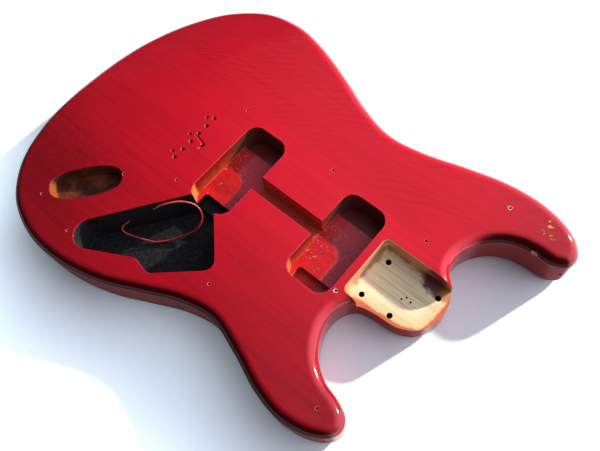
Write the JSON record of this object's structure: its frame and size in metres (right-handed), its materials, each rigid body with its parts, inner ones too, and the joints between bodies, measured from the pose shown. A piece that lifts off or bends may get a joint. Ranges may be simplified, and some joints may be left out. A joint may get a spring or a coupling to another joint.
{
  "type": "electric guitar body",
  "caption": "Solid electric guitar body in gloss cherry red over wood grain, stripped of hardware, with open pickup, control, jack and neck cavities and a loose ground wire.",
  "frame": {"origin": "On the back face, on the centre line, half way along the body", "axes": "+X along the strings towards the neck, +Y towards the bass side, +Z out of the face"},
  "size_m": [0.464, 0.327, 0.0463],
  "materials": {
    "lacquered_wood": "clear gloss lacquer tinted cherry red over alder or ash grain",
    "ferrule_plating": "bright nickel plating",
    "wire_jacket": "smooth red insulation",
    "wire_core": "bare stranded copper"
  },
  "bodies": {
    "root": {"body_board_bass": "lacquered_wood", "body_board_centre": "lacquered_wood", "body_board_treble": "lacquered_wood", "string_ferrule_1": "ferrule_plating", "string_ferrule_2": "ferrule_plating", "string_ferrule_3": "ferrule_plating", "string_ferrule_4": "ferrule_plating", "string_ferrule_5": "ferrule_plating", "string_ferrule_6": "ferrule_plating", "ground_wire_drilled": "wire_jacket", "ground_wire_loop": "wire_jacket", "ground_wire_core_cavity": "wire_core"}
  },
  "joints": []
}
